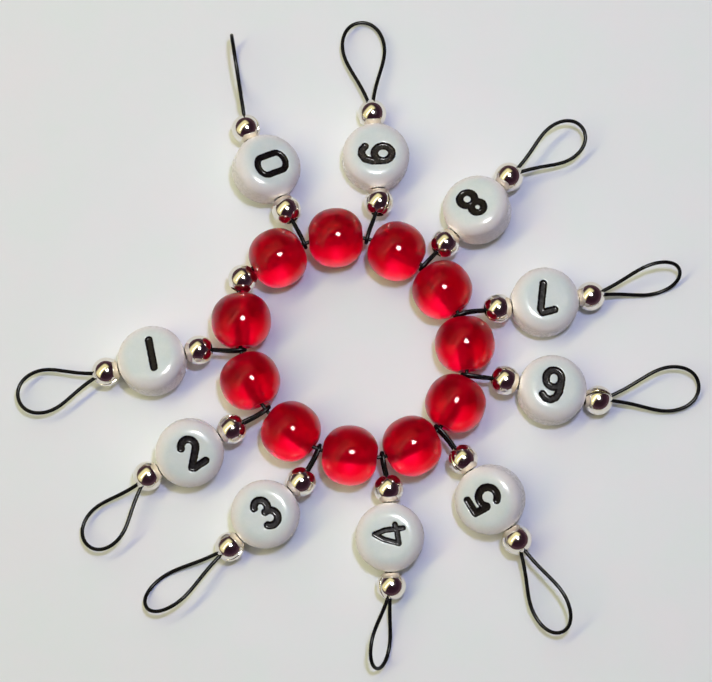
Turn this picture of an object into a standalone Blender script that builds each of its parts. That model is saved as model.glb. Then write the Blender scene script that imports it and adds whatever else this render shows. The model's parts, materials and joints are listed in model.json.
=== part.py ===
"""Row counter for knitting: a ring of red glass beads with ten hinged arms, laid out flat.

Each arm hooks round the ring wire in a gap between two red beads. It carries a number bead between
two crimp covers, and ends in a loop for the knitting needle.
Lengths below are in millimetres and angles in degrees. MM turns lengths into Blender's metres.
"""

import math
from collections import namedtuple

import bmesh
import bpy
from mathutils import Matrix, Vector
from mathutils.geometry import interpolate_bezier

MM = 0.001
UP = Vector((0, 0, 1))

# Red glass beads, slightly shorter along the hole, which widens at its mouths.
# A fullness of 2 makes an ellipse, and more makes a squarer outline.
RED_DIAMETER = 6.1
RED_LENGTH = 5.8
RED_FULLNESS = 2.2
RED_HOLE = 1.1
RED_MOUTH = 2.0
MOUTH_DEPTH = 0.25

# Number beads: flat round beads, drilled from edge to edge. The digits sit a little towards the ring.
NUMBER_DIAMETER = 7.0
NUMBER_THICKNESS = 4.0
NUMBER_ROUNDING = 1.2
NUMBER_HOLE = 1.4
STROKE_DIAMETER = 0.8
STROKE_LIFT = 0.15
DIGIT_OFFSET = 0.27

# Crimp covers and the crimp tube that joins the ring wire.
COVER_DIAMETER = 3.0
COVER_WALL = 0.22
COVER_HOLE = 1.5
TUBE_DIAMETER = 1.44
TUBE_BORE = 1.0
TUBE_LENGTH = 1.7

# Beading wire. Where two strands run together, each lies this far from their middle.
WIRE_DIAMETER = 0.38
STRAND_OFFSET = 0.225
HOOK_CLEARANCE = 0.42
TAIL_LENGTH = 2.3
LOOP_WIDEST = 0.72

# The ring: an oval line through the red beads' middles, and the distance from each bead to the next.
RING_HEIGHT = RED_DIAMETER / 2
RING_LONG = 12.0
RING_SHORT = 10.75
RING_TURN = 139.0
FIRST_BEAD = 129.0
BEAD_SPACINGS = (6.3, 6.4, 6.15, 6.1, 6.15, 6.2, 6.35, 6.45, 6.65, 6.25)
CLOSING_BULGE = 2.05
WIRE_BOW = 0.2

# Arms: from one cover's middle to the number bead's middle, and on to the other cover's middle.
COVER_TO_NUMBER = 4.85

# Headings are seen from above, anticlockwise from +X. A roll turns a piece about its own arm:
# 0 lays the two strands of a hook or a loop side by side, and 90 sets them one above the other.
Arm = namedtuple(
    "Arm", "digit hook hook_heading heading number_roll hook_roll loop loop_width loop_heading loop_roll"
)
ARMS = (
    Arm(0, 4.08, 117, 116, 18, 90, 10.2, 4.2, 99, 90),
    Arm(9, 4.18, 73, 94, 3, 90, 10.3, 4.4, 97, 4),
    Arm(8, 3.38, 47, 47, -20, 90, 9.4, 3.95, 34, 12),
    Arm(7, 4.13, 11, 8.5, -3, 90, 9.6, 4.1, 15.5, 52),
    Arm(6, 4.03, -7, -11.5, -7, 90, 10.6, 4.5, 9.5, 16),
    Arm(5, 3.93, -51, -56.5, 22, 72, 10.2, 3.9, -64, 30),
    Arm(4, 3.28, -79, -88.5, 3, 70, 8.4, 4.2, -100.5, -64),
    Arm(3, 3.73, -118, -138, -3, 62, 10.3, 4.2, -144.2, 40),
    Arm(2, 3.98, -150, -151, -12, 55, 9.2, 4.4, -131, 20),
    Arm(1, 4.33, 179, -167, 11, 90, 9.4, 4.4, -163.5, 5),
)

# Facets: sides of each turned piece.
RED_SIDES = 16
NUMBER_SIDES = 24
COVER_SIDES = 12
HOLE_SIDES = 12


def material(name, colour, roughness, metallic=0.0):
    made = bpy.data.materials.new(name)
    made.diffuse_color = (*colour, 1)
    made.use_nodes = True
    shader = made.node_tree.nodes["Principled BSDF"]
    shader.inputs["Base Color"].default_value = (*colour, 1)
    shader.inputs["Roughness"].default_value = roughness
    shader.inputs["Metallic"].default_value = metallic
    return made


def heading(degrees, slope=0.0):
    """A direction at this heading, falling by this slope angle."""
    level = Vector((math.cos(math.radians(degrees)), math.sin(math.radians(degrees)), 0))
    return level * math.cos(math.radians(slope)) - UP * math.sin(math.radians(slope))


def frame(middle, along, roll=0.0):
    """A matrix at a point, X along a direction, Y level, then rolled about X."""
    x = along.normalized()
    y = UP.cross(x).normalized()
    axes = Matrix((x, y, x.cross(y))).transposed().to_4x4()
    return Matrix.Translation(middle) @ axes @ Matrix.Rotation(math.radians(roll), 4, "X")


def arc(middle, radii, start, end, steps):
    """Points on an ellipse in the XY plane, from one angle to another."""
    angles = (math.radians(start + (end - start) * step / steps) for step in range(steps + 1))
    return [(middle[0] + radii[0] * math.cos(a), middle[1] + radii[1] * math.sin(a)) for a in angles]


# ---------------------------------------------------------------- objects


def add_object(name, data, matrix, parent, look):
    made = bpy.data.objects.new(name, data)
    bpy.context.scene.collection.objects.link(made)
    data.materials.append(look)
    made.parent = parent
    bpy.context.view_layer.update()
    scaled = matrix.copy()
    scaled.translation = matrix.translation * MM
    made.matrix_world = scaled
    return made


def add_empty(name, matrix, parent=None):
    made = bpy.data.objects.new(name, None)
    made.empty_display_size = MM
    bpy.context.scene.collection.objects.link(made)
    made.parent = parent
    scaled = matrix.copy()
    scaled.translation = matrix.translation * MM
    made.matrix_world = scaled
    bpy.context.view_layer.update()
    return made


def turned_mesh(name, outline, sides):
    """A mesh turned about X from a closed outline of (x, radius) points."""
    shape = bmesh.new()
    points = [shape.verts.new((x * MM, radius * MM, 0)) for x, radius in outline]
    edges = [shape.edges.new((points[i - 1], points[i])) for i in range(len(points))]
    bmesh.ops.spin(
        shape, geom=points + edges, cent=(0, 0, 0), axis=(1, 0, 0), angle=math.tau, steps=sides
    )
    bmesh.ops.remove_doubles(shape, verts=shape.verts, dist=0.0001 * MM)
    bmesh.ops.recalc_face_normals(shape, faces=shape.faces)
    return finish_mesh(name, shape)


def finish_mesh(name, shape):
    mesh = bpy.data.meshes.new(name)
    shape.to_mesh(mesh)
    shape.free()
    return mesh


def wire_curve(name, route, diameter, closed=False):
    """A round wire through a list of points, with filled ends."""
    curve = bpy.data.curves.new(name, "CURVE")
    curve.dimensions = "3D"
    curve.bevel_depth = diameter / 2 * MM
    curve.bevel_resolution = 1
    curve.use_fill_caps = True
    spline = curve.splines.new("POLY")
    spline.points.add(len(route) - 1)
    for point, place in zip(spline.points, route):
        point.co = (*(place * MM), 1)
    spline.use_cyclic_u = closed
    return curve


# ---------------------------------------------------------------- ring layout


def oval_point(turn):
    across = Vector((RING_LONG * math.cos(turn), RING_SHORT * math.sin(turn), RING_HEIGHT))
    return Matrix.Rotation(math.radians(RING_TURN), 3, "Z") @ across


def next_turn(turn, spacing):
    """The place on the oval, going clockwise, that lies this far from the last one."""
    near, far = turn, turn - math.pi / 3
    for _ in range(40):
        middle = (near + far) / 2
        if (oval_point(middle) - oval_point(turn)).length < spacing:
            near = middle
        else:
            far = middle
    return near


def bead_middles():
    turns = [math.radians(FIRST_BEAD - RING_TURN)]
    for spacing in BEAD_SPACINGS:
        turns.append(next_turn(turns[-1], spacing))
    return [oval_point(turn) for turn in turns]


def outward(middle):
    return Vector((middle.x, middle.y, 0)).normalized()


def closing_middle(beads):
    """The crimp cover's middle, bulging out between the last bead and the first."""
    middle = (beads[0] + beads[-1]) / 2
    return middle + outward(middle) * CLOSING_BULGE


def ring_points(beads):
    """Points that the ring wire's line passes: the closing cover, then each red bead."""
    return [closing_middle(beads)] + [bead + outward(bead) * WIRE_BOW for bead in beads]


def on_ring(points, place):
    """The ring wire's line at a place: 0 is the closing cover, 1 the first bead, and so on round."""
    step = math.floor(place)
    part = place - step
    a, b, c, d = (points[(step + i) % len(points)] for i in (-1, 0, 1, 2))
    steady = 2 * b + (c - a) * part
    bend = (2 * a - 5 * b + 4 * c - d) * part**2 + (3 * b - a - 3 * c + d) * part**3
    return (steady + bend) / 2


def ring_direction(points, place):
    return (on_ring(points, place + 0.05) - on_ring(points, place - 0.05)).normalized()


def strand_height(place, last):
    """The two ends of the ring wire lie one above the other in the crimp tube."""
    start = min(max((1.3 - place) / 0.7, 0), 1)
    end = min(max((place - (last - 1.3)) / 0.7, 0), 1)
    return STRAND_OFFSET * (end - start)


def ring_route(points):
    last = len(points)
    tail = 0.55
    steps = 72
    places = [-tail + (last + 2 * tail) * step / steps for step in range(steps + 1)]
    return [on_ring(points, place) + UP * strand_height(place, last) for place in places]


# ---------------------------------------------------------------- turned pieces


def red_bead_outline(steps):
    """The bead's outside, as (x, radius) points from one mouth of its hole to the other."""
    edge = math.asin((RED_MOUTH / RED_DIAMETER) ** (RED_FULLNESS / 2))
    power = 2 / RED_FULLNESS
    outline = []
    for step in range(steps + 1):
        turn = edge + (math.pi - 2 * edge) * step / steps
        x = math.copysign(abs(math.cos(turn)) ** power, math.cos(turn))
        outline.append((RED_LENGTH / 2 * x, RED_DIAMETER / 2 * math.sin(turn) ** power))
    return outline


def red_bead_mesh():
    outline = red_bead_outline(8)
    hole_end = outline[0][0] - MOUTH_DEPTH
    outline += [(-hole_end, RED_HOLE / 2), (hole_end, RED_HOLE / 2)]
    return turned_mesh("red_bead", outline, RED_SIDES)


def cover_mesh():
    """A hollow ball with a hole at each end."""
    outer = COVER_DIAMETER / 2
    inner = outer - COVER_WALL
    outer_edge = math.degrees(math.asin(COVER_HOLE / 2 / outer))
    inner_edge = math.degrees(math.asin(COVER_HOLE / 2 / inner))
    outline = arc((0, 0), (outer, outer), outer_edge, 180 - outer_edge, 6)
    outline += arc((0, 0), (inner, inner), 180 - inner_edge, inner_edge, 4)
    return turned_mesh("crimp_cover", outline, COVER_SIDES)


def tube_mesh():
    half = TUBE_LENGTH / 2
    outline = [(-half, TUBE_DIAMETER / 2), (half, TUBE_DIAMETER / 2), (half, TUBE_BORE / 2), (-half, TUBE_BORE / 2)]
    return turned_mesh("crimp_tube", outline, HOLE_SIDES)


# ---------------------------------------------------------------- number beads


def nine():
    bowl = arc((0, 0.66), (0.8, 0.9), 0, 360, 12)
    tail = [(0.81, 0.45), (0.78, -0.55), (0.52, -1.25), (0.0, -1.58), (-0.5, -1.5), (-0.85, -1.15)]
    return [bowl, tail]


def digit_strokes(digit):
    """The middle lines of a digit's strokes, upright and centred on the origin."""
    if digit == 0:
        return [arc((0, 0.75), (1.0, 0.75), 0, 180, 6) + arc((0, -0.75), (1.0, 0.75), 180, 360, 6) + [(1.0, 0.75)]]
    if digit == 1:
        return [[(0, 1.55), (0, -1.5)]]
    if digit == 2:
        return [arc((0, 0.7), (0.74, 0.76), 165, -35, 7) + [(-0.7, -1.3), (-0.5, -1.45), (0.85, -1.35)]]
    if digit == 3:
        top = arc((-0.05, 0.75), (0.66, 0.7), 150, -75, 7)
        return [top, arc((-0.05, -0.68), (0.77, 0.76), 90, -150, 8)]
    if digit == 4:
        return [[(0.05, 1.45), (-0.9, -0.95), (0.6, -0.75), (1.0, -0.6)], [(0.05, 1.45), (0.45, 0.4), (0.62, -1.4)]]
    if digit == 5:
        return [[(0.85, 1.45), (-0.65, 1.5), (-0.78, 0.2)], arc((0, -0.52), (0.95, 0.98), 140, -145, 9)]
    if digit == 6:
        return [[(-x, -y) for x, y in stroke] for stroke in nine()]
    if digit == 7:
        return [[(-0.78, 1.35), (0.5, 1.5), (0.62, 1.1), (-0.1, -1.5)]]
    if digit == 8:
        return [arc((0, 0.8), (0.62, 0.66), 0, 360, 10), arc((0, -0.68), (0.75, 0.8), 0, 360, 12)]
    return nine()


def stroke_curve(stroke):
    """A round cutter along a stroke, just sunk into the number bead's face."""
    face = NUMBER_THICKNESS / 2 + STROKE_LIFT
    closed = (Vector(stroke[0]) - Vector(stroke[-1])).length < 0.01
    route = [Vector((-x - DIGIT_OFFSET, -y, face)) for x, y in (stroke[:-1] if closed else stroke)]
    return wire_curve("stroke", route, STROKE_DIAMETER, closed)


def digit_mesh(digit):
    """The cutter for a digit on both faces of its bead."""
    shape = bmesh.new()
    for stroke in digit_strokes(digit):
        holder = bpy.data.objects.new("stroke", stroke_curve(stroke))
        bpy.context.scene.collection.objects.link(holder)
        bpy.context.view_layer.update()
        solid = holder.evaluated_get(bpy.context.evaluated_depsgraph_get()).to_mesh()
        for turn in (0, math.pi):
            solid.transform(Matrix.Rotation(turn, 4, "X"))
            shape.from_mesh(solid)
        bpy.data.objects.remove(holder)
    return finish_mesh("digit", shape)


def add_cutter(name, mesh, target):
    """A hidden cutter that moves with the piece it cuts."""
    cutter = bpy.data.objects.new(name, mesh)
    bpy.context.scene.collection.objects.link(cutter)
    cutter.parent = target
    cutter.hide_render = True
    cutter.display_type = "WIRE"
    cut = target.modifiers.new(name, "BOOLEAN")
    cut.operation = "DIFFERENCE"
    cut.object = cutter
    return cut


def hole_mesh():
    half = NUMBER_DIAMETER
    outline = [(-half, 0), (-half, NUMBER_HOLE / 2), (half, NUMBER_HOLE / 2), (half, 0)]
    return turned_mesh("number_hole", outline, HOLE_SIDES)


def number_blank_mesh():
    """The bead before drilling: a short cylinder with its rims rounded."""
    shape = bmesh.new()
    radius = NUMBER_DIAMETER / 2 * MM
    bmesh.ops.create_cone(
        shape, cap_ends=True, segments=NUMBER_SIDES, radius1=radius, radius2=radius, depth=NUMBER_THICKNESS * MM
    )
    rims = [edge for edge in shape.edges if abs(edge.verts[0].co.z - edge.verts[1].co.z) < 0.1 * MM]
    bmesh.ops.bevel(shape, geom=rims, offset=NUMBER_ROUNDING * MM, segments=3, profile=0.5, affect="EDGES")
    return finish_mesh("number_bead", shape)


def add_number_bead(arm, matrix, parent, look):
    name = f"number_bead_{arm.digit}"
    bead = add_object(name, number_blank_mesh(), matrix, parent, look)
    add_cutter(f"hole_{arm.digit}", hole_mesh(), bead)
    add_cutter(f"digit_{arm.digit}", digit_mesh(arm.digit), bead).use_self = True
    return bead


# ---------------------------------------------------------------- arms


def resting_height(tilt):
    """How high a number bead's middle is when it rests on its edge at this tilt from level."""
    flat = NUMBER_DIAMETER / 2 - NUMBER_ROUNDING
    side = NUMBER_THICKNESS / 2 - NUMBER_ROUNDING
    return flat * math.sin(tilt) + NUMBER_ROUNDING + side * math.cos(tilt)


def arm_slope(arm):
    """The angle at which the arm falls, so that its number bead rests on the surface."""
    reach = arm.hook + COVER_TO_NUMBER
    roll = math.radians(arm.number_roll)
    slope = 0.0
    for _ in range(20):
        tilt = math.acos(math.cos(roll) * math.cos(slope))
        slope = math.asin((RING_HEIGHT - resting_height(tilt)) / reach)
    return math.degrees(slope)


def hook_route(arm, root, outward_way, slope):
    """Round the ring wire, from the strand that ends in the arm to the one that goes on.

    At the ring it is half as far from upright as at the arm, and wide enough to clear the ring wire.
    """
    ring_roll = (arm.hook_roll + 90) / 2
    wide = HOOK_CLEARANCE / math.sin(math.radians(ring_roll))
    turn = [(0.45, wide)] + arc((0, 0), (HOOK_CLEARANCE, wide), 90, 270, 6) + [(0.45, -wide)]
    ring_end = frame(root, outward_way, ring_roll)
    arm_end = frame(root, heading(arm.hook_heading, slope), arm.hook_roll)
    start, stop = (arm_end @ Vector((arm.hook - 1.0, side * STRAND_OFFSET, 0)) for side in (1, -1))
    return [start] + [ring_end @ Vector((x, y, 0)) for x, y in turn] + [stop]


def loop_slope(arm, start, slope):
    """A loop goes on as its arm falls, but never below the surface."""
    half = arm.loop_width / 2 * abs(math.sin(math.radians(arm.loop_roll)))
    spare = start.z - half - WIRE_DIAMETER / 2
    return min(slope, math.degrees(math.atan(spare / (LOOP_WIDEST * arm.loop))))


def loop_route(arm, start, slope):
    """A teardrop: out of the cover, round the tip and back."""
    long = arm.loop
    half = arm.loop_width / 2
    neck = Vector((1.2, -STRAND_OFFSET, 0))
    wide = Vector((LOOP_WIDEST * long, -half, 0))
    tip = Vector((long, 0, 0))
    side = interpolate_bezier(neck, Vector((0.4 * long, -0.42 * half, 0)), Vector((0.54 * long, -half, 0)), wide, 7)
    end = interpolate_bezier(wide, Vector((0.88 * long, -half, 0)), Vector((long, -0.6 * half, 0)), tip, 5)
    out = side + end[1:]
    back = [Vector((point.x, -point.y, 0)) for point in reversed(out[:-1])]
    place = frame(start, heading(arm.loop_heading, slope), arm.loop_roll)
    return [place @ point for point in out + back]


def arm_route(arm, root, outward_way, slope):
    """The whole arm wire, from its tail in the number bead, round both ends, to its other tail."""
    along = heading(arm.heading, slope)
    first = root + heading(arm.hook_heading, slope) * arm.hook
    number = first + along * COVER_TO_NUMBER
    last = number + along * COVER_TO_NUMBER

    def strand(distance, side, roll):
        return frame(number, along, roll) @ Vector((distance, side * STRAND_OFFSET, 0))

    near = COVER_TO_NUMBER - 1.0
    middle_roll = (arm.hook_roll + arm.loop_roll) / 2
    route = [strand(-TAIL_LENGTH, 1, arm.hook_roll), strand(-near, 1, arm.hook_roll)]
    route += hook_route(arm, root, outward_way, slope)
    route += [strand(-near, -1, arm.hook_roll), strand(-TAIL_LENGTH, -1, arm.hook_roll)]
    route += [strand(0, -1, middle_roll), strand(TAIL_LENGTH, -1, arm.loop_roll), strand(near, -1, arm.loop_roll)]
    route += loop_route(arm, last, loop_slope(arm, last, slope))
    route += [strand(near, 1, arm.loop_roll), strand(TAIL_LENGTH, 1, arm.loop_roll)]
    return route, first, number, last


def add_arm(arm, points, place, counter, looks):
    root = on_ring(points, place)
    across = ring_direction(points, place)
    hinge = add_empty(f"arm_{arm.digit}", frame(root, across), counter)
    slope = arm_slope(arm)
    route, first, number, last = arm_route(arm, root, UP.cross(across), slope)
    along = heading(arm.heading, slope)
    curve = wire_curve("arm_wire", [point - root for point in route], WIRE_DIAMETER)
    add_object(f"arm_wire_{arm.digit}", curve, Matrix.Translation(root), hinge, looks["wire"])
    near_axis = heading(arm.hook_heading, slope) + along
    far_axis = heading(arm.loop_heading, loop_slope(arm, last, slope)) + along
    add_object(f"inner_cover_{arm.digit}", cover_mesh(), frame(first, near_axis), hinge, looks["silver"])
    add_number_bead(arm, frame(number, along, arm.number_roll), hinge, looks["white"])
    add_object(f"outer_cover_{arm.digit}", cover_mesh(), frame(last, far_axis), hinge, looks["silver"])


# ---------------------------------------------------------------- assembly


def add_ring(points, beads, counter, looks):
    closing = points[0]
    route = [point - closing for point in ring_route(points)]
    add_object(
        "ring_wire", wire_curve("ring_wire", route, WIRE_DIAMETER), Matrix.Translation(closing), counter, looks["wire"]
    )
    place = frame(closing, ring_direction(points, 0))
    add_object("ring_crimp_tube", tube_mesh(), place, counter, looks["silver"])
    add_object("ring_crimp_cover", cover_mesh(), place, counter, looks["silver"])
    for index, bead in enumerate(beads):
        place = frame(bead, ring_direction(points, index + 1))
        add_object(f"red_bead_{index + 1:02d}", red_bead_mesh(), place, counter, looks["red"])


def centre_on_origin(counter):
    """Moves the whole counter so that its box stands on the origin."""
    graph = bpy.context.evaluated_depsgraph_get()
    corners = []
    for piece in bpy.context.scene.objects:
        if piece.type in ("MESH", "CURVE") and not piece.hide_render:
            shape = piece.evaluated_get(graph)
            corners += [shape.matrix_world @ vertex.co for vertex in shape.to_mesh().vertices]
    low = Vector([min(corner[axis] for corner in corners) for axis in range(3)])
    high = Vector([max(corner[axis] for corner in corners) for axis in range(3)])
    counter.location -= Vector(((low.x + high.x) / 2, (low.y + high.y) / 2, low.z))


def main():
    for old in list(bpy.data.objects):
        bpy.data.objects.remove(old)
    looks = {
        "red": material("red_glass", (0.62, 0.01, 0.04), 0.05),
        "white": material("white_plastic", (0.86, 0.87, 0.84), 0.25),
        "silver": material("silver_plate", (0.86, 0.82, 0.74), 0.12, 1.0),
        "wire": material("black_wire", (0.02, 0.02, 0.022), 0.3),
    }
    counter = add_empty("row_counter", Matrix())
    beads = bead_middles()
    points = ring_points(beads)
    add_ring(points, beads, counter, looks)
    for index, arm in enumerate(ARMS):
        add_arm(arm, points, index + 1.5, counter, looks)
    bpy.context.view_layer.update()
    centre_on_origin(counter)
    bpy.context.view_layer.update()


main()
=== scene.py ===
"""Looks of the knitting row counter: every bead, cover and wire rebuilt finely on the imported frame.

Lengths below are in millimetres and angles in degrees. MM turns lengths into Blender's metres.
"""

import json
import math
from collections import namedtuple

import bmesh
import bpy
import numpy as np
from mathutils import Matrix, Vector
from mathutils.geometry import interpolate_bezier

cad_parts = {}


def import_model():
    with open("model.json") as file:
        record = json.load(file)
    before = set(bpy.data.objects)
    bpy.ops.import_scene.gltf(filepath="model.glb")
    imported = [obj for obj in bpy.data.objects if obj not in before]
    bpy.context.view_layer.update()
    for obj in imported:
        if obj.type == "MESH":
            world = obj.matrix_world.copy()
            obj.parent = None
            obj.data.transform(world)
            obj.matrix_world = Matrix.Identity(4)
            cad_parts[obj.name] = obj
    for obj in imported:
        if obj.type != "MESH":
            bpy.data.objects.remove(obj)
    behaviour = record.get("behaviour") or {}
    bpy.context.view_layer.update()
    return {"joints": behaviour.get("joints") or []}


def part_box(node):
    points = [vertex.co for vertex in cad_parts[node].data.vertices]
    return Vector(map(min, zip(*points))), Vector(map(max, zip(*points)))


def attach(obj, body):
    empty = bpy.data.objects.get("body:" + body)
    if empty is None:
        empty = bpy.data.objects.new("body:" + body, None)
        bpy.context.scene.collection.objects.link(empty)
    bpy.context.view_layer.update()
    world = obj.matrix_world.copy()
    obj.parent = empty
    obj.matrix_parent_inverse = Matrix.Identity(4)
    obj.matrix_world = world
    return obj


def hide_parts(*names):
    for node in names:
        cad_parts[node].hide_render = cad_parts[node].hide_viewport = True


MM = 0.001
UP = Vector((0, 0, 1))
# Vertices closer than this are one, in a turned shape and in a number bead.
MERGE_TURNED = 0.0005
MERGE_BEAD = 0.001

# The sizes of the CAD model.
RED_DIAMETER = 6.1
RED_LENGTH = 5.8
RED_FULLNESS = 2.2
RED_HOLE = 1.1
RED_MOUTH = 2.0
MOUTH_DEPTH = 0.25
NUMBER_DIAMETER = 7.0
NUMBER_THICKNESS = 4.0
NUMBER_ROUNDING = 1.2
NUMBER_HOLE = 1.4
NUMBER_RELIEF = 0.05
COVER_DIAMETER = 3.0
COVER_WALL = 0.22
COVER_MOUTH = 1.2
COVER_TO_NUMBER = 4.85
TUBE_DIAMETER = 1.44
TUBE_BORE = 1.0
TUBE_LENGTH = 1.7
WIRE_DIAMETER = 0.38
STRAND_OFFSET = 0.225
HOOK_CLEARANCE = 0.42
TAIL_LENGTH = 2.3
LOOP_WIDEST = 0.72
WIRE_BOW = 0.2

# Digits: the groove's half width at the ink's edge and at the bead's face, and its depth.
INK_REACH = 0.4
GROOVE_REACH = 0.46
GROOVE_FLOOR = 0.2
GROOVE_DEPTH = 0.2
DIGIT_OFFSET = 0.27
DIGIT_PEN = {0: 0.87, 4: 0.72}  # the digits with thinner strokes than the rest

# What the frame doesn't say of an arm: rolls about the arm, and its loop's size and heading.
# ink is how worn the digit is, and seams are the rolls of its inner and outer covers' seams.
Arm = namedtuple(
    "Arm", "digit number_roll hook_roll loop loop_width loop_heading loop_roll ink seams"
)
ARMS = (
    Arm(0, 18, 90, 10.2, 4.2, 99, 90, 0.1, (200, 150)),
    Arm(9, 3, 90, 10.3, 4.4, 97, 4, 0.8, (130, 215)),
    Arm(8, -20, 90, 9.4, 3.95, 34, 12, 0.1, (235, -14)),
    Arm(7, -3, 90, 9.6, 4.1, 15.5, 52, 0.15, (160, -24)),
    Arm(6, -7, 90, 10.6, 4.5, 9.5, 16, 0.6, (210, 62)),
    Arm(5, 22, 72, 10.2, 3.9, -64, 30, 0.5, (140, 170)),
    Arm(4, 3, 70, 8.4, 4.2, -100.5, -64, 0.2, (190, 140)),
    Arm(3, -3, 62, 10.3, 4.2, -144.2, 40, 0.15, (225, 28)),
    Arm(2, -12, 55, 9.2, 4.4, -131, 20, 0.15, (150, 200)),
    Arm(1, 11, 90, 9.4, 4.4, -163.5, 5, 0.1, (170, 22)),
)
OPEN_SEAM_ARM = 6


# ---------------------------------------------------------------- frames and curves


def heading(degrees, slope=0.0):
    """A direction at this heading, falling by this slope angle."""
    level = Vector((math.cos(math.radians(degrees)), math.sin(math.radians(degrees)), 0))
    return level * math.cos(math.radians(slope)) - UP * math.sin(math.radians(slope))


def place(middle, along, roll=0.0):
    """A matrix at a point, X along a direction, Y level, then rolled about X."""
    x = along.normalized()
    y = UP.cross(x).normalized()
    axes = Matrix((x, y, x.cross(y))).transposed().to_4x4()
    return Matrix.Translation(middle) @ axes @ Matrix.Rotation(math.radians(roll), 4, "X")


def arc(middle, radii, start, end, steps):
    """Points on an ellipse in the XY plane, from one angle to another."""
    angles = (math.radians(start + (end - start) * step / steps) for step in range(steps + 1))
    return [
        (middle[0] + radii[0] * math.cos(a), middle[1] + radii[1] * math.sin(a)) for a in angles
    ]


def smooth(points, spacing):
    """Points on a smooth curve through the given ones, about this far apart."""
    last = len(points) - 1
    made = []
    for i in range(last):
        a, b, c, d = (points[min(max(i + j, 0), last)] for j in (-1, 0, 1, 2))
        steps = max(1, round((c - b).length / spacing))
        # Short and long stretches meet, so each end's slope is weighed by the lengths beside it.
        before, here, after = (max((q - p).length, 1e-6) for p, q in ((a, b), (b, c), (c, d)))
        leave = ((b - a) * here / before + (c - b) * before / here) / (before + here) * here
        arrive = ((c - b) * after / here + (d - c) * here / after) / (here + after) * here
        for step in range(steps):
            t = step / steps
            turn = (2 * t**3 - 3 * t**2 + 1) * b + (t**3 - 2 * t**2 + t) * leave
            made.append(turn + (3 * t**2 - 2 * t**3) * c + (t**3 - t**2) * arrive)
    return made + [points[-1]]


# ---------------------------------------------------------------- meshes


def add_piece(name, mesh, looks, matrix, body, nodes=()):
    """A finished piece of the object, riding on its body and standing for its CAD nodes."""
    piece = bpy.data.objects.new(name, mesh)
    bpy.context.scene.collection.objects.link(piece)
    for look in looks:
        mesh.materials.append(look)
    placed = matrix.copy()
    placed.translation = matrix.translation * MM
    piece.matrix_world = placed
    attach(piece, body)
    if nodes:
        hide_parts(*nodes)
    return piece


def finish_mesh(name, shape):
    bmesh.ops.recalc_face_normals(shape, faces=shape.faces)
    for face in shape.faces:
        face.smooth = True
    mesh = bpy.data.meshes.new(name)
    shape.to_mesh(mesh)
    shape.free()
    return mesh


def turned(name, outline, sides):
    """A mesh turned about X from a closed outline of (x, radius) points."""
    shape = bmesh.new()
    points = [shape.verts.new((x * MM, radius * MM, 0)) for x, radius in outline]
    edges = [shape.edges.new((points[i - 1], points[i])) for i in range(len(points))]
    bmesh.ops.spin(
        shape, geom=points + edges, cent=(0, 0, 0), axis=(1, 0, 0), angle=math.tau, steps=sides
    )
    bmesh.ops.remove_doubles(shape, verts=shape.verts, dist=MERGE_TURNED * MM)
    return finish_mesh(name, shape)


# How far a rounded corner's handles go from the corner towards its ends.
CORNER_HANDLE = 0.45


def rounded_corner(before, corner, after, radius, steps=4):
    """Points that round off a corner of an outline."""
    here = Vector(corner)
    start = here + (Vector(before) - here).normalized() * radius
    end = here + (Vector(after) - here).normalized() * radius
    handles = [here.lerp(point, CORNER_HANDLE) for point in (start, end)]
    return [tuple(point) for point in interpolate_bezier(start, *handles, end, steps + 1)]


WIRE_SIDES = 16


def wire_mesh(name, route, diameter):
    """A round wire along a route, cut off flat at its ends."""
    shape = bmesh.new()
    last = len(route) - 1
    rings = []
    normal = None
    for i, point in enumerate(route):
        along = (route[min(i + 1, last)] - route[max(i - 1, 0)]).normalized()
        if normal is None:
            normal = along.orthogonal().normalized()
        normal = (normal - along * normal.dot(along)).normalized()
        across = along.cross(normal)
        ring = []
        for side in range(WIRE_SIDES):
            turn = math.tau * side / WIRE_SIDES
            offset = (normal * math.cos(turn) + across * math.sin(turn)) * diameter / 2
            ring.append(shape.verts.new((point + offset) * MM))
        rings.append(ring)
    for first, second in zip(rings, rings[1:]):
        for side in range(WIRE_SIDES):
            beside = (side + 1) % WIRE_SIDES
            shape.faces.new((first[side], first[beside], second[beside], second[side]))
    for ring in (rings[0], rings[-1]):
        shape.faces.new(ring)
    return finish_mesh(name, shape)


def red_bead_outline(steps):
    """The bead's outside, as (x, radius) points from one mouth of its hole to the other."""
    edge = math.asin((RED_MOUTH / RED_DIAMETER) ** (RED_FULLNESS / 2))
    power = 2 / RED_FULLNESS
    outline = []
    for step in range(steps + 1):
        turn = edge + (math.pi - 2 * edge) * step / steps
        x = math.copysign(abs(math.cos(turn)) ** power, math.cos(turn))
        outline.append((RED_LENGTH / 2 * x, RED_DIAMETER / 2 * math.sin(turn) ** power))
    return outline


RED_STEPS = 56
RED_SIDES = 72
RED_RIM_ROUNDING = 0.12
RED_HOLE_STOPS = (-1.2, 0.0, 1.2)


def red_bead_mesh():
    """A drilled glass bead: the hole's mouths are ground wider and their rims are soft."""
    outline = red_bead_outline(RED_STEPS)
    rim = outline[0]
    outline = outline[2:-2]
    hole_end = rim[0] - MOUTH_DEPTH
    inner = (hole_end, RED_HOLE / 2)
    right = rounded_corner(inner, rim, outline[0], RED_RIM_ROUNDING)[1:-1]
    left = [(-x, radius) for x, radius in reversed(right)]
    hole = [(-inner[0], inner[1])] + [(x, RED_HOLE / 2) for x in RED_HOLE_STOPS] + [inner]
    return turned("red_bead", outline + left + hole + right, RED_SIDES)


COVER_STEPS = 72
COVER_ARC_STEPS = 28
# The ball's arcs stop this angle short of each mouth, and the lip is rounded over that stretch.
COVER_LIP_ANGLE = 4
COVER_LIP_ROUNDING = 0.07
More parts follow.
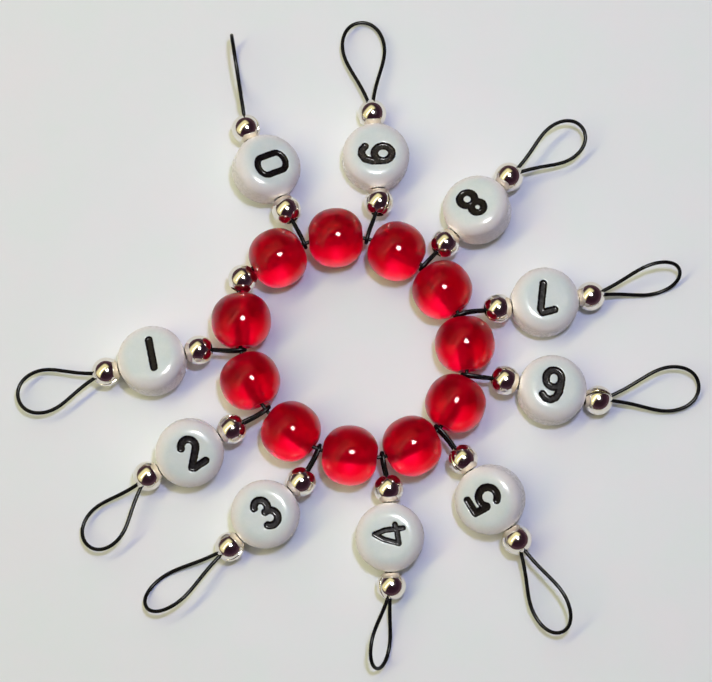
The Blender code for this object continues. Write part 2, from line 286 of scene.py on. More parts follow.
# The seam: its edges are tucked in, which fades over this angle, and so does a lifted lip.
SEAM_CROWDING = 0.85
SEAM_TUCK = 0.05
SEAM_FADE = 3.0
INNER_TUCK = 0.3
LIFT_FADE = 25


def cover_mesh(gap, overlap=0.0):
    """A crimp cover: a hollow ball with a hole at each end and a seam of this angle along one side.

    overlap lifts one lip of the seam, as on a cover that did not close true.
    """
    outer = COVER_DIAMETER / 2
    inner = outer - COVER_WALL
    outer_edge = math.degrees(math.asin(COVER_MOUTH / 2 / outer))
    inner_edge = math.degrees(math.asin(COVER_MOUTH / 2 / inner))
    first, last = outer_edge + COVER_LIP_ANGLE, 180 - COVER_LIP_ANGLE - outer_edge
    outside = arc((0, 0), (outer, outer), first, last, COVER_ARC_STEPS)
    first, last = 180 - COVER_LIP_ANGLE - inner_edge, inner_edge + COVER_LIP_ANGLE
    inside = arc((0, 0), (inner, inner), first, last, COVER_ARC_STEPS)
    lip = arc((0, 0), (outer, outer), outer_edge, 180, 1)[0]
    right = rounded_corner(inside[-1], lip, outside[0], COVER_LIP_ROUNDING, 3)
    left = [(-x, radius) for x, radius in reversed(right)]
    outline = outside + left + inside + right
    shape = bmesh.new()
    rings = []
    for step in range(COVER_STEPS + 1):
        # Steps crowd towards the seam, so that its lips can be rounded.
        part = step / COVER_STEPS
        eased = part - math.sin(math.tau * part) / math.tau * SEAM_CROWDING
        turn = math.radians(gap / 2 + (360 - gap) * eased)
        degrees_in = min(turn, math.tau - turn) - math.radians(gap / 2)
        tuck = SEAM_TUCK * math.exp(-math.degrees(degrees_in) / SEAM_FADE)
        lift = overlap * math.exp(-math.degrees(turn) / LIFT_FADE)
        ring = []
        for x, radius in outline:
            length = math.hypot(x, radius)
            on_outside = length > outer - COVER_WALL / 2
            grown = 1 + (lift - tuck if on_outside else lift + tuck * INNER_TUCK) / length
            y, z = radius * grown * math.cos(turn), radius * grown * math.sin(turn)
            ring.append(shape.verts.new((x * grown * MM, y * MM, z * MM)))
        rings.append(ring)
    count = len(outline)
    for first, second in zip(rings, rings[1:]):
        for i in range(count):
            shape.faces.new((first[i - 1], first[i], second[i], second[i - 1]))
    for ring in (rings[0], rings[-1]):
        shape.faces.new(ring)
    return finish_mesh("crimp_cover", shape)


TUBE_SIDES = 40
TUBE_ROUNDING = 0.06
# The pressed middle of a crimp tube, as a part of its half length.
TUBE_PRESSED = 0.45


def tube_mesh(squash):
    """A crimp tube pressed flat-sided round its strands."""
    half = TUBE_LENGTH / 2
    outer, bore = TUBE_DIAMETER / 2, TUBE_BORE / 2
    corners = [(-half, outer), (half, outer), (half, bore), (-half, bore)]
    outline = []
    for i, corner in enumerate(corners):
        outline += rounded_corner(corners[i - 1], corner, corners[(i + 1) % 4], TUBE_ROUNDING)
    mesh = turned("crimp_tube", outline, TUBE_SIDES)
    for vertex in mesh.vertices:
        middle = math.exp(-((vertex.co.x / (TUBE_PRESSED * half * MM)) ** 2))
        vertex.co.z *= 1 - squash * middle
    return mesh


# ---------------------------------------------------------------- digits


def nine():
    bowl = arc((0, 0.66), (0.8, 0.9), 0, 360, 32)
    tail = [(0.81, 0.45), (0.78, -0.55), (0.52, -1.25), (0.0, -1.58), (-0.5, -1.5), (-0.85, -1.15)]
    return [bowl, tail]


def digit_strokes(digit):
    """The middle lines of a digit's strokes, upright and centred on the origin."""
    if digit == 0:
        top = arc((0, 0.75), (1.0, 0.75), 0, 180, 16)
        return [top + arc((0, -0.75), (1.0, 0.75), 180, 360, 16) + [top[0]]]
    if digit == 1:
        return [[(0, 1.55), (0, -1.5)]]
    if digit == 2:
        foot = [(-0.7, -1.3), (-0.5, -1.45), (0.85, -1.35)]
        return [arc((0, 0.7), (0.74, 0.76), 165, -35, 18) + foot]
    if digit == 3:
        top = arc((-0.05, 0.75), (0.66, 0.7), 150, -75, 20)
        return [top, arc((-0.05, -0.68), (0.77, 0.76), 90, -150, 22)]
    if digit == 4:
        corner = [(0.05, 1.45), (-0.48, 0.5), (-0.9, -0.95), (0.6, -0.75), (1.0, -0.6)]
        return [corner, [(0.05, 1.45), (0.45, 0.4), (0.62, -1.4)]]
    if digit == 5:
        bowl = arc((0, -0.52), (0.95, 0.98), 140, -145, 24)
        return [[(0.85, 1.45), (-0.65, 1.5), (-0.78, 0.2)], bowl]
    if digit == 6:
        return [[(-x, -y) for x, y in stroke] for stroke in nine()]
    if digit == 7:
        return [[(-0.78, 1.35), (0.5, 1.5), (0.62, 1.1), (-0.1, -1.5)]]
    if digit == 8:
        return [arc((0, 0.8), (0.62, 0.66), 0, 360, 28), arc((0, -0.68), (0.75, 0.8), 0, 360, 32)]
    return nine()


def stroke_distance(places, strokes):
    """How far each (x, y) place lies from the nearest stroke."""
    nearest = np.full(len(places), 1e3)
    for stroke in strokes:
        for start, end in zip(stroke, stroke[1:]):
            start, run = np.array(start), np.array(end) - np.array(start)
            part = np.clip((places - start) @ run / max(run @ run, 1e-9), 0, 1)
            gaps = np.linalg.norm(places - start - part[:, None] * run, axis=1)
            nearest = np.minimum(nearest, gaps)
    return nearest


FACE_FLAT = 1.9
FACE_RINGS = 36
FACE_SECTORS = 144
RIM_STEPS = 12
# A digit stays inside this radius, and this far from a stroke there is no ink.
DIGIT_LIMIT = 2.5
NO_INK = 1.0


def bead_blank():
    """A flat round bead about Z with soft rims and fine rings on its faces."""
    radius, half = NUMBER_DIAMETER / 2 - NUMBER_RELIEF, NUMBER_THICKNESS / 2
    rings = [FACE_FLAT * i / FACE_RINGS for i in range(FACE_RINGS)]
    # The rim's turns are close together as far as a digit may reach.
    shoulder = math.asin((DIGIT_LIMIT - FACE_FLAT) / (radius - FACE_FLAT))
    turns = list(np.linspace(0, shoulder, RIM_STEPS))
    turns += list(np.linspace(shoulder, math.pi / 2, RIM_STEPS))[1:]
    side = [
        (FACE_FLAT + (radius - FACE_FLAT) * math.sin(t), half - NUMBER_ROUNDING * (1 - math.cos(t)))
        for t in turns
    ]
    top = [(ring, half) for ring in rings] + side
    outline = top + [(r, -z) for r, z in reversed(top)]
    shape = bmesh.new()
    points = [shape.verts.new((r * MM, 0, z * MM)) for r, z in outline]
    edges = [shape.edges.new(pair) for pair in zip(points, points[1:])]
    bmesh.ops.spin(
        shape, geom=points + edges, cent=(0, 0, 0), axis=(0, 0, 1), angle=math.tau,
        steps=FACE_SECTORS,
    )
    bmesh.ops.remove_doubles(shape, verts=shape.verts, dist=MERGE_BEAD * MM)
    return finish_mesh("number_bead", shape)


DRILL_SIDES = 40


def drill(mesh):
    """The bead with its hole from edge to edge, as a new mesh."""
    bead = bpy.data.objects.new("blank", mesh)
    reach = NUMBER_DIAMETER
    outline = [(-reach, 0), (-reach, NUMBER_HOLE / 2), (reach, NUMBER_HOLE / 2), (reach, 0)]
    cutter = bpy.data.objects.new("drill", turned("drill", outline, DRILL_SIDES))
    for helper in (bead, cutter):
        bpy.context.scene.collection.objects.link(helper)
    cut = bead.modifiers.new("hole", "BOOLEAN")
    cut.object = cutter
    bpy.context.view_layer.update()
    evaluated = bead.evaluated_get(bpy.context.evaluated_depsgraph_get())
    drilled = bpy.data.meshes.new_from_object(evaluated)
    bpy.data.objects.remove(bead)
    bpy.data.objects.remove(cutter)
    return drilled


# How far under a face's flat a digit may mark the rim.
FACE_BAND = 0.35
SHARP_ANGLE = 50


def number_bead_mesh(drilled, digit):
    """The drilled bead with its digit sunk into both faces, and the ink's reach marked."""
    mesh = drilled.copy()
    mesh.name = f"number_bead_{digit}"
    points = np.empty(len(mesh.vertices) * 3)
    mesh.vertices.foreach_get("co", points)
    points = points.reshape(-1, 3) / MM
    half = NUMBER_THICKNESS / 2
    reach = np.full(len(points), NO_INK)
    for side in (1, -1):
        # The top's digit reads with its up along -Y, and the back's is the same one turned over.
        in_reach = np.hypot(points[:, 0], points[:, 1]) < DIGIT_LIMIT
        face = (points[:, 2] * side > half - FACE_BAND) & in_reach
        upright = np.stack([-points[face, 0] - DIGIT_OFFSET, -points[face, 1] * side], axis=1)
        distance = stroke_distance(upright, digit_strokes(digit)) / DIGIT_PEN.get(digit, 1)
        t = np.clip((GROOVE_REACH - distance) / (GROOVE_REACH - GROOVE_FLOOR), 0, 1)
        points[face, 2] -= side * GROOVE_DEPTH * t * t * (3 - 2 * t)
        reach[face] = distance
    mesh.vertices.foreach_set("co", (points * MM).ravel())
    stroke = mesh.attributes.new("stroke", "FLOAT", "POINT")
    stroke.data.foreach_set("value", reach)
    mesh.set_sharp_from_angle(angle=math.radians(SHARP_ANGLE))
    mesh.update()
    return mesh


# ---------------------------------------------------------------- materials


RANGE_SOCKETS = ("From Min", "From Max", "To Min", "To Max")
# The sockets of a colour mix: its factor, its two colours and its result.
MIX_FACTOR, MIX_FIRST, MIX_SECOND, MIX_RESULT = 0, 6, 7, 2


class Nodes:
    """A tree of shader nodes, built up step by step."""

    def __init__(self, owner):
        owner.use_nodes = True
        self.nodes = owner.node_tree.nodes
        self.links = owner.node_tree.links

    def link(self, source, target):
        self.links.new(source, target)

    def node(self, kind, **settings):
        made = self.nodes.new(kind)
        for name, value in settings.items():
            setattr(made, name, value)
        return made

    def feed(self, socket, value):
        """Sets a socket to a number or a colour, or links it to another node's output."""
        if isinstance(value, (int, float)):
            socket.default_value = value
        elif isinstance(value, tuple):
            socket.default_value = (*value, 1)
        else:
            self.link(value, socket)

    def ramp(self, value, stops):
        """A colour ramp over (position, colour) stops."""
        made = self.node("ShaderNodeValToRGB")
        elements = made.color_ramp.elements
        while len(elements) < len(stops):
            elements.new(1)
        for element, (position, colour) in zip(elements, stops):
            element.position = position
            element.color = (*colour, 1)
        self.link(value, made.inputs["Fac"])
        return made.outputs["Color"]

    def steps(self, value, low, high, out_low=0.0, out_high=1.0):
        """A smooth step from one output to another while the value goes from low to high."""
        made = self.node("ShaderNodeMapRange", interpolation_type="SMOOTHSTEP")
        for name, number in zip(RANGE_SOCKETS, (low, high, out_low, out_high)):
            made.inputs[name].default_value = number
        self.link(value, made.inputs["Value"])
        return made.outputs["Result"]

    def math(self, operation, first, second):
        made = self.node("ShaderNodeMath", operation=operation)
        self.feed(made.inputs[0], first)
        self.feed(made.inputs[1], second)
        return made.outputs["Value"]

    def mix(self, factor, first, second):
        made = self.node("ShaderNodeMix", data_type="RGBA")
        self.feed(made.inputs[MIX_FACTOR], factor)
        self.feed(made.inputs[MIX_FIRST], first)
        self.feed(made.inputs[MIX_SECOND], second)
        return made.outputs[MIX_RESULT]

    def dot(self, vector, way):
        made = self.node("ShaderNodeVectorMath", operation="DOT_PRODUCT")
        self.link(vector, made.inputs[0])
        made.inputs[1].default_value = way
        return made.outputs["Value"]

    def length(self, vector):
        made = self.node("ShaderNodeVectorMath", operation="LENGTH")
        self.link(vector, made.inputs[0])
        return made.outputs["Value"]

    def places(self, scale=(1, 1, 1)):
        """The object's own coordinates, in millimetres, stretched by a scale."""
        source = self.node("ShaderNodeTexCoord")
        mapping = self.node("ShaderNodeMapping")
        mapping.inputs["Scale"].default_value = [part / MM for part in scale]
        self.link(source.outputs["Object"], mapping.inputs["Vector"])
        return mapping.outputs["Vector"]

    def noise(self, scale, detail=3.0, roughness=0.5):
        made = self.node("ShaderNodeTexNoise")
        made.inputs["Scale"].default_value = scale
        made.inputs["Detail"].default_value = detail
        made.inputs["Roughness"].default_value = roughness
        self.link(self.places(), made.inputs["Vector"])
        return made.outputs["Fac"]


class Look(Nodes):
    """A material of the object, on one principled shader."""

    def __init__(self, name):
        self.material = bpy.data.materials.new(name)
        super().__init__(self.material)
        self.shader = self.nodes["Principled BSDF"]

    def set(self, **values):
        for name, value in values.items():
            self.shader.inputs[name.replace("_", " ")].default_value = value

    def colour(self, source):
        self.link(source, self.shader.inputs["Base Color"])

    def roughness(self, source):
        self.link(source, self.shader.inputs["Roughness"])

    def bump(self, height, strength, distance):
        made = self.node("ShaderNodeBump")
        made.inputs["Strength"].default_value = strength
        made.inputs["Distance"].default_value = distance * MM
        self.link(height, made.inputs["Height"])
        self.link(made.outputs["Normal"], self.shader.inputs["Normal"])


GLASS_COLOUR = (0.38, 0.0004, 0.028, 1)
# The colour of the painted glow on the hole's wall, given as emission.
PAINTED_HOLE_GLOW_COLOUR = (1.0, 0.02, 0.1, 1)
# Where the wall gives way to plain glass, and each input's value at the wall and in the glass.
HOLE_WALL_EDGE = (RED_HOLE * 0.52, RED_HOLE * 0.56)
HOLE_WALL_AND_PAINTED_GLOW = (
    ("Transmission Weight", 0.0, 0.9),
    ("Alpha", 0.7, 1.0),
    # The emission is painted light: a red glow on the wall for the light the glass gathers.
    ("Emission Strength", 0.28, 0.0),
)


def red_glass():
    """Transparent red glass, a little soft, with a frosted wall in the drilled hole that glows with
    painted light.
    """
    look = Look("red_glass")
    look.set(Base_Color=GLASS_COLOUR, Roughness=0.3, IOR=1.5, Specular_Tint=(0, 0, 0, 1))
    look.set(Coat_Weight=0.28, Coat_IOR=1.4, Coat_Roughness=0.03)
    # The wall is ground, so it is less clear, and its red emission is painted light that stands in
    # for the light the glass gathers.
    look.set(Emission_Color=PAINTED_HOLE_GLOW_COLOUR)
    from_axis = look.length(look.places((0, 1, 1)))
    for name, at_wall, elsewhere in HOLE_WALL_AND_PAINTED_GLOW:
        value = look.steps(from_axis, *HOLE_WALL_EDGE, at_wall, elsewhere)
        look.link(value, look.shader.inputs[name])
    return look.material


# The face of a number bead, its rim tinted paler and warmer as painted light for the glow on its
# shoulders, and fresh and worn ink.
FACE_TONES = ((0.3, (0.62, 0.67, 0.65)), (0.7, (0.69, 0.71, 0.68)))
PAINTED_RIM_TONE = (0.76, 0.70, 0.68)
PAINTED_RIM_EDGE = (NUMBER_DIAMETER * 0.3, NUMBER_DIAMETER * 0.48)
FRESH_INK = (0.004, 0.002, 0.003)
WORN_INK = (0.13, 0.09, 0.08)
INK_SOFTNESS = 0.02
INK_WANDER = 0.12


def number_plastic(worn):
    """White moulded plastic, its rim tinted with painted light, with black ink in the digit's groove,
    thinner where it is worn.
    """
    look = Look(f"number_plastic_{int(worn * 100):02d}")
    look.set(IOR=1.5, Specular_IOR_Level=0.12, Coat_Weight=0.18, Coat_Roughness=0.06)
    look.set(Subsurface_Weight=0.25, Subsurface_Scale=0.6 * MM, Subsurface_Radius=(1.0, 0.85, 0.7))
    # Painted light: the rim is tinted paler and warmer than the face.
    rim = look.steps(look.length(look.places((1, 1, 0))), *PAINTED_RIM_EDGE)
    white = look.mix(rim, look.ramp(look.noise(0.5, 2.0), FACE_TONES), PAINTED_RIM_TONE)
    stroke = look.node("ShaderNodeAttribute", attribute_name="stroke").outputs["Fac"]
    wander = look.math("MULTIPLY", look.math("SUBTRACT", look.noise(4.0), 0.5), INK_WANDER)
    reach = look.math("ADD", stroke, wander)
    inked = look.steps(reach, INK_REACH - INK_SOFTNESS, INK_REACH + INK_SOFTNESS, 1.0, 0.0)
    worn_from, worn_to = 0.72 - 0.3 * worn, 0.95 - 0.2 * worn
    wear = look.steps(look.noise(2.6, 4.0, 0.65), worn_from, worn_to, 0.0, 0.75)
    look.colour(look.mix(inked, white, look.mix(wear, FRESH_INK, WORN_INK)))
    look.roughness(look.steps(look.noise(3.0, 4.0), 0.3, 0.8, 0.24, 0.34))
    look.bump(look.noise(1.2), 0.08, 0.1)
    return look.material


SILVER_TONES = ((0.35, (0.84, 0.79, 0.70)), (0.65, (0.90, 0.86, 0.78)))
WIRE_TONES = ((0.35, (0.002, 0.0015, 0.002)), (0.7, (0.006, 0.005, 0.006)))
TABLE_TONES = ((0.3, (0.80, 0.83, 0.81)), (0.5, (0.82, 0.82, 0.82)), (0.7, (0.84, 0.81, 0.82)))


def silver_plate():
    """Bright silver plate, a little warm, with fine wear from handling."""
    look = Look("silver_plate")
    look.set(Metallic=1.0)
    look.colour(look.ramp(look.noise(1.2, 4.0), SILVER_TONES))
    look.roughness(look.steps(look.noise(5.0, 5.0, 0.6), 0.35, 0.75, 0.04, 0.14))
    look.bump(look.noise(0.9, 2.0), 0.05, 0.1)
    return look.material


def black_wire():
    """Black nylon over twisted steel strands, which show faintly as ridges."""
    look = Look("black_wire")
    look.set(IOR=1.45, Specular_IOR_Level=0.1)
    look.colour(look.ramp(look.noise(1.5), WIRE_TONES))
    look.roughness(look.steps(look.noise(6.0), 0.3, 0.8, 0.22, 0.38))
    look.bump(look.noise(5.0, 2.0), 0.15, 0.02)
    return look.material


def table_top():
    """A pale smooth surface with the faintest pink and green mottling."""
    look = Look("table_top")
    look.set(Roughness=0.7, Specular_IOR_Level=0.0)
    look.colour(look.ramp(look.noise(0.12, 3.0, 0.6), TABLE_TONES))
    look.bump(look.noise(1.5, 4.0), 0.05, 0.1)
    return look.material


# ---------------------------------------------------------------- the ring


def middle_of(node):
    low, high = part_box(node)
    return (low + high) / 2 / MM


def hinge_point(joint):
    return Vector(joint["pos_m"]) / MM


def red_bead_names():
    return [f"red_bead_{number:02d}" for number in range(1, 12)]


def ring_points(joints):
    """Points on the ring wire: its closing cover, then each red bead, a little outwards."""
    beads = [hinge_point(joints[f"spin_{name}"]) for name in red_bead_names()]
    centre = sum(beads, Vector()) / len(beads)
    bowed = [bead + (bead - centre).normalized() * WIRE_BOW for bead in beads]
    return [middle_of("ring_crimp_cover")] + bowed


def on_ring(points, where):
    """The ring wire's line: 0 is the closing cover, 1 the first bead, and so on round."""
    step = math.floor(where)
    part = where - step
    a, b, c, d = (points[(step + i) % len(points)] for i in (-1, 0, 1, 2))
    steady = 2 * b + (c - a) * part
    bend = (2 * a - 5 * b + 4 * c - d) * part**2 + (3 * b - a - 3 * c + d) * part**3
    return (steady + bend) / 2


RING_STEPS = 300
# How far each end runs on past the closing cover, and where it starts and ends to part from the
# other end, all in steps from bead to bead.
RING_TAIL = 0.55
RING_PARTED, RING_PARTING = 1.3, 0.7


def ring_route(points):
    """Round the ring, with its two ends one above the other in the crimp tube."""
    last = len(points)
    route = []
    for step in range(RING_STEPS + 1):
        where = -RING_TAIL + (last + 2 * RING_TAIL) * step / RING_STEPS
        start = min(max((RING_PARTED - where) / RING_PARTING, 0), 1)
        end = min(max((where - (last - RING_PARTED)) / RING_PARTING, 0), 1)
        route.append(on_ring(points, where) + UP * STRAND_OFFSET * (end - start))
    return route


RING_TUBE_SQUASH = 0.06
RING_SEAM_GAP = 3.0
RING_SEAM_ROLL = 200


def add_ring(joints, looks):
    points = ring_points(joints)
    closing = points[0]
    route = [point - closing for point in ring_route(points)]
    add_piece(
        "fine_ring_wire", wire_mesh("ring_wire", route, WIRE_DIAMETER), [looks["wire"]],
        Matrix.Translation(closing), "ring", ["ring_wire"],
    )
    along = on_ring(points, 0.05) - on_ring(points, -0.05)
    add_piece(
        "fine_ring_crimp_tube", tube_mesh(RING_TUBE_SQUASH), [looks["silver"]],
        place(closing, along), "ring", ["ring_crimp_tube"],
    )
    add_piece(
        "fine_ring_crimp_cover", cover_mesh(RING_SEAM_GAP), [looks["silver"]],
        place(closing, along, RING_SEAM_ROLL), "ring", ["ring_crimp_cover"],
    )
    glass = red_bead_mesh()
    for name in red_bead_names():
        joint = joints[f"spin_{name}"]
        matrix = place(hinge_point(joint), Vector(joint["axis"]))
        add_piece(f"fine_{name}", glass.copy(), [looks["red"]], matrix, name, [name])


# ---------------------------------------------------------------- the arms


# The strands run straight this far to either side of a cover's middle.
STRAND_REACH = 1.0
# Where the hook's turn round the ring wire gives way to its straight strands.
HOOK_SHANK = 0.45
HOOK_STEPS = 8


def hook_route(arm, root, outward, along, length):
    """Round the ring wire, from the strand that ends in the arm to the one that goes on."""
    ring_roll = (arm.hook_roll + 90) / 2
    wide = HOOK_CLEARANCE / math.sin(math.radians(ring_roll))
    turn = arc((0, 0), (HOOK_CLEARANCE, wide), 90, 270, HOOK_STEPS)
    turn = [(HOOK_SHANK, wide)] + turn + [(HOOK_SHANK, -wide)]
    ring_end = place(root, outward, ring_roll)
    arm_end = place(root, along, arm.hook_roll)
    reach = length - STRAND_REACH
    start, stop = (arm_end @ Vector((reach, side * STRAND_OFFSET, 0)) for side in (1, -1))
    return [start] + [ring_end @ Vector((x, y, 0)) for x, y in turn] + [stop]


def loop_slope(arm, start, slope):
    """A loop goes on as its arm falls, but never below the surface."""
    half = arm.loop_width / 2 * abs(math.sin(math.radians(arm.loop_roll)))
    spare = start.z - half - WIRE_DIAMETER / 2
    return min(slope, math.degrees(math.atan(spare / (LOOP_WIDEST * arm.loop))))


LOOP_NECK = 1.2
LOOP_SIDE_STEPS = 12
LOOP_END_STEPS = 10
# The handles of a loop's side and end, as parts of its length and half width.
LOOP_SIDE_HANDLES = ((0.4, 0.42), (0.54, 1))
LOOP_END_HANDLES = ((0.88, 1), (1, 0.6))


def loop_route(arm, start, slope):
    """A teardrop: out of the cover, round the tip and back."""
    half = arm.loop_width / 2

    def handles(parts):
        return [Vector((long * arm.loop, -wide * half, 0)) for long, wide in parts]

    neck = Vector((LOOP_NECK, -STRAND_OFFSET, 0))
    widest = Vector((LOOP_WIDEST * arm.loop, -half, 0))
    tip = Vector((arm.loop, 0, 0))
    side = interpolate_bezier(neck, *handles(LOOP_SIDE_HANDLES), widest, LOOP_SIDE_STEPS)
    end = interpolate_bezier(widest, *handles(LOOP_END_HANDLES), tip, LOOP_END_STEPS)
    out = side + end[1:]
    back = [Vector((point.x, -point.y, 0)) for point in reversed(out[:-1])]
    laid = place(start, heading(arm.loop_heading, slope), arm.loop_roll)
    return [laid @ point for point in out + back]


def arm_route(arm, root, outward, inner, number, outer):
    """The whole arm wire, from its tail in the number bead, round both ends, to its other tail."""
    hook = inner - root
    along = (outer - inner).normalized()
    slope = -math.degrees(math.asin(along.z))

    def strand(distance, side, roll):
        return place(number, along, roll) @ Vector((distance, side * STRAND_OFFSET, 0))

    near = COVER_TO_NUMBER - STRAND_REACH
    middle_roll = (arm.hook_roll + arm.loop_roll) / 2
    route = [strand(-TAIL_LENGTH, 1, arm.hook_roll), strand(-near, 1, arm.hook_roll)]
    route += hook_route(arm, root, outward, hook.normalized(), hook.length)
    route += [strand(-near, -1, arm.hook_roll), strand(-TAIL_LENGTH, -1, arm.hook_roll)]
    route += [strand(0, -1, middle_roll)]
    route += [strand(TAIL_LENGTH, -1, arm.loop_roll), strand(near, -1, arm.loop_roll)]
    route += loop_route(arm, outer, loop_slope(arm, outer, slope))
    return route + [strand(near, 1, arm.loop_roll), strand(TAIL_LENGTH, 1, arm.loop_roll)]


# A seam's gap in degrees and how far its one lip is lifted.
CLOSED_SEAM = (2.5, 0.0)
OPEN_SEAM = (14.0, 0.1)
ARM_TUBE_SQUASH = 0.1
ROUTE_SPACING = 0.12


def add_cover_and_tube(arm, end, middle, along, looks):
    """One crimp cover with its crimp tube, at the inner or outer end of the number bead."""
    body = f"arm_{arm.digit}"
    seam = arm.seams[0 if end == "inner" else 1]
    gaping = arm.digit == OPEN_SEAM_ARM and end == "outer"
    ball = cover_mesh(*(OPEN_SEAM if gaping else CLOSED_SEAM))
    add_piece(
        f"fine_{end}_cover_{arm.digit}", ball, [looks["silver"]],
        place(middle, along, seam), body, [f"{end}_cover_{arm.digit}"],
    )
    roll = arm.hook_roll if end == "inner" else arm.loop_roll
    add_piece(
        f"fine_{end}_tube_{arm.digit}", tube_mesh(ARM_TUBE_SQUASH), [looks["silver"]],
        place(middle, along, roll), body,
    )


def add_arm(arm, joints, drilled, looks):
    swing = joints[f"swing_{arm.digit}"]
    spin = joints[f"spin_number_{arm.digit}"]
    root = hinge_point(swing)
    number = hinge_point(spin)
    inner = middle_of(f"inner_cover_{arm.digit}")
    outer = middle_of(f"outer_cover_{arm.digit}")
    along = (outer - inner).normalized()
    route = arm_route(arm, root, UP.cross(Vector(swing["axis"])), inner, number, outer)
    route = [point - root for point in smooth(route, ROUTE_SPACING)]
    wire = wire_mesh("arm_wire", route, WIRE_DIAMETER)
    body = f"arm_{arm.digit}"
    add_piece(
        f"fine_arm_wire_{arm.digit}", wire, [looks["wire"]],
        Matrix.Translation(root), body, [f"arm_wire_{arm.digit}"],
    )
    slope = -math.degrees(math.asin(along.z))
    loop_way = heading(arm.loop_heading, loop_slope(arm, outer, slope))
    add_cover_and_tube(arm, "inner", inner, (inner - root).normalized() + along, looks)
    add_cover_and_tube(arm, "outer", outer, loop_way + along, looks)
    bead = number_bead_mesh(drilled, arm.digit)
    add_piece(
        f"fine_number_bead_{arm.digit}", bead, [number_plastic(arm.ink)],
        place(number, Vector(spin["axis"]), arm.number_roll),
        f"number_{arm.digit}", [f"number_bead_{arm.digit}"],
    )


# ---------------------------------------------------------------- the set

# The camera looks north and down at a point on the object, from this elevation and distance.
CAMERA_TARGET = (-0.28, -0.64, 2.5)
CAMERA_ELEVATION = 80.0
CAMERA_DISTANCE = 230.0
CAMERA_LENS = 113.95
CAMERA_NEAR = 10.0

FLOOR_SIZE = 1200.0

# The lights face the origin from these directions and distances, and TUBE_RUN is the tube's length.
EAST = (1, 0, 0)
FLASH_WAY = (0.105, 0.065, 0.992)
TUBE_WAY = (-0.482, 0.059, 0.875)
TUBE_RUN = (0.7, 0.69, 0.12)
ROOM_WAY = (-0.45, 0.4, 1.0)

# A size is a disc's diameter or a rectangle's sides. The flash and the tube are each in two parts:
# one that lights the scene, and a glare that only shows in reflections.
Light = namedtuple("Light", "name way distance run size colour power hidden_from")
GLARE = ("diffuse", "transmission", "volume_scatter")
LIGHTS = (
    Light("flash", FLASH_WAY, 235, EAST, (22,), (0.52, 0.57, 1.0), 0.231, ("glossy",)),
    Light("flash_glare", FLASH_WAY, 245, EAST, (62,), (1, 1, 1), 1.6, GLARE),
    Light(
        "ceiling_tube", TUBE_WAY, 1000, TUBE_RUN, (1250, 100), (1.0, 0.92, 0.40), 4.26, ("glossy",)
    ),
    Light("tube_glare", TUBE_WAY, 1010, TUBE_RUN, (1250, 90), (1.0, 0.93, 0.6), 1.4, GLARE),
    Light(
        "room_light", ROOM_WAY, 450, EAST, (800, 800), (0.96, 1.0, 0.95), 1.6,
        ("glossy", "transmission"),
    ),
)

# The room at the horizon, halfway up and overhead, and the ceiling lit round the tube. The lit part
# runs along the tube between a near and a far edge, and fades away from it.
ROOM_TONES = (
    (0.0, (0.12, 0.07, 0.09)), (0.5, (0.035, 0.014, 0.026)), (1.0, (0.018, 0.006, 0.012))
)
LIT_CEILING = (0.93, 0.86, 0.50)
LIT_CEILING_NEAR_EDGE = (-0.26, -0.12)
LIT_CEILING_FAR_EDGE = (0.62, 0.36)
LIT_CEILING_REACH = (0.42, 0.7)


def add_floor():
    mesh = bpy.data.meshes.new("floor")
    half = FLOOR_SIZE / 2 * MM
    corners = [(-half, -half, 0), (half, -half, 0), (half, half, 0), (-half, half, 0)]
    mesh.from_pydata(corners, [], [(0, 1, 2, 3)])
    mesh.materials.append(table_top())
    floor = bpy.data.objects.new("floor", mesh)
    bpy.context.scene.collection.objects.link(floor)


def add_camera():
    data = bpy.data.cameras.new("camera")
    data.lens = CAMERA_LENS
    data.clip_start = CAMERA_NEAR * MM
    camera = bpy.data.objects.new("camera", data)
    bpy.context.scene.collection.objects.link(camera)
    tilt = math.radians(CAMERA_ELEVATION)
    back = Vector((0, -math.cos(tilt), math.sin(tilt)))
    camera.location = (Vector(CAMERA_TARGET) + back * CAMERA_DISTANCE) * MM
    camera.rotation_mode = "QUATERNION"
    camera.rotation_quaternion = (-back).to_track_quat("-Z", "Y")
    bpy.context.scene.camera = camera


def add_light(wanted):
    """An area light that faces the object, with its long side along its run."""
    data = bpy.data.lights.new(wanted.name, "AREA")
    data.color = wanted.colour
    data.energy = wanted.power
    if len(wanted.size) == 1:
        data.shape = "DISK"
        data.size = wanted.size[0] * MM
    else:
        data.shape = "RECTANGLE"
        data.size, data.size_y = (side * MM for side in wanted.size)
    light = bpy.data.objects.new(wanted.name, data)
    bpy.context.scene.collection.objects.link(light)
    away = Vector(wanted.way).normalized()
    x = (Vector(wanted.run) - away * Vector(wanted.run).dot(away)).normalized()
    axes = Matrix((x, away.cross(x), away)).transposed().to_4x4()
    light.matrix_world = Matrix.Translation(away * wanted.distance * MM) @ axes
    for ray in ("camera", *wanted.hidden_from):
        setattr(light, f"visible_{ray}", False)


def add_world():
    """A dim room, darker overhead, with the ceiling lit round the tube.

    It shows to the camera and in reflections, and lights nothing.
    """
    world = bpy.data.worlds.new("room")
    sky = Nodes(world)
    direction = sky.node("ShaderNodeTexCoord").outputs["Generated"]
    split = sky.node("ShaderNodeSeparateXYZ")
    sky.link(direction, split.inputs["Vector"])
    room = sky.ramp(split.outputs["Z"], ROOM_TONES)
    way = Vector(TUBE_WAY).normalized()
    across = sky.dot(direction, way.cross(Vector(TUBE_RUN)).normalized())
    edges = [sky.steps(across, *edge) for edge in (LIT_CEILING_NEAR_EDGE, LIT_CEILING_FAR_EDGE)]
    ahead = sky.steps(sky.dot(direction, way), *LIT_CEILING_REACH)
    lit = sky.math("MULTIPLY", sky.math("MULTIPLY", *edges), ahead)
    sky.link(sky.mix(lit, room, LIT_CEILING), sky.nodes["Background"].inputs["Color"])
    bpy.context.scene.world = world
    world.cycles_visibility.diffuse = False
    world.cycles_visibility.transmission = False


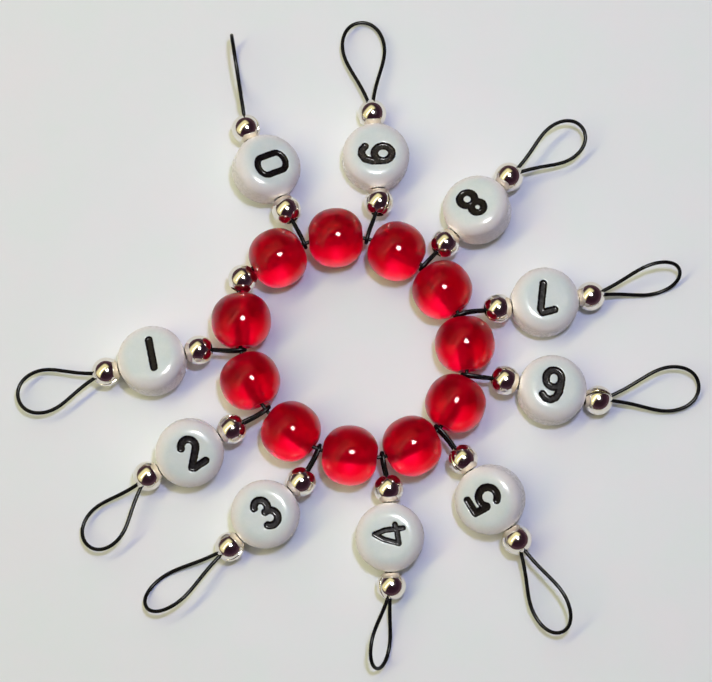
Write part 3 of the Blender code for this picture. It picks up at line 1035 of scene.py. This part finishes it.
def add_set():
    """The floor, the camera, the room, a flash beside the camera and a tube on the ceiling."""
    add_floor()
    add_camera()
    add_world()
    for light in LIGHTS:
        add_light(light)
    scene = bpy.context.scene
    scene.view_settings.view_transform = "Standard"
    scene.cycles.use_denoising = True


# Painted light: glowing red discs on the surface under the glass beads, standing in for the flash
# that each bead focuses.
GLOW_RADIUS = 1.2
GLOW_CORE = 0.35
GLOW_STRENGTH = 2.7
GLOW_COLOUR = (1.0, 0.08, 0.15, 1)
GLOW_SHIFT = (0.05, -0.45)
GLOW_HEIGHT = 0.01
GLOW_SIDES = 24


def painted_caustic():
    """A painted caustic: a soft red emissive spot that is clear at its edge."""
    material = bpy.data.materials.new("painted_caustic")
    look = Nodes(material)
    look.nodes.remove(look.nodes["Principled BSDF"])
    painted_glow = look.node("ShaderNodeEmission")
    painted_glow.inputs["Color"].default_value = GLOW_COLOUR
    painted_glow.inputs["Strength"].default_value = GLOW_STRENGTH
    clear = look.node("ShaderNodeBsdfTransparent")
    mix = look.node("ShaderNodeMixShader")
    fade = look.steps(look.length(look.places()), GLOW_CORE, GLOW_RADIUS, 1.0, 0.0)
    look.link(fade, mix.inputs["Fac"])
    look.link(clear.outputs["BSDF"], mix.inputs[1])
    look.link(painted_glow.outputs["Emission"], mix.inputs[2])
    look.link(mix.outputs["Shader"], look.nodes["Material Output"].inputs["Surface"])
    return material


def add_painted_caustics(joints):
    """Painted light: a soft bright emissive spot on the surface under each glass bead, for the flash
    that the bead focuses there.
    """
    look = painted_caustic()
    for name in red_bead_names():
        shape = bmesh.new()
        bmesh.ops.create_circle(shape, cap_ends=True, segments=GLOW_SIDES, radius=GLOW_RADIUS * MM)
        mesh = bpy.data.meshes.new("painted_glow")
        shape.to_mesh(mesh)
        shape.free()
        mesh.materials.append(look)
        spot = bpy.data.objects.new(f"glow_{name}", mesh)
        bpy.context.scene.collection.objects.link(spot)
        under = hinge_point(joints[f"spin_{name}"])
        spot.location = Vector((under.x + GLOW_SHIFT[0], under.y + GLOW_SHIFT[1], GLOW_HEIGHT)) * MM


def main():
    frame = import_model()
    joints = {joint["name"]: joint for joint in frame["joints"]}
    looks = {"red": red_glass(), "silver": silver_plate(), "wire": black_wire()}
    add_set()
    add_ring(joints, looks)
    drilled = drill(bead_blank())
    for arm in ARMS:
        add_arm(arm, joints, drilled, looks)
    add_painted_caustics(joints)


main()
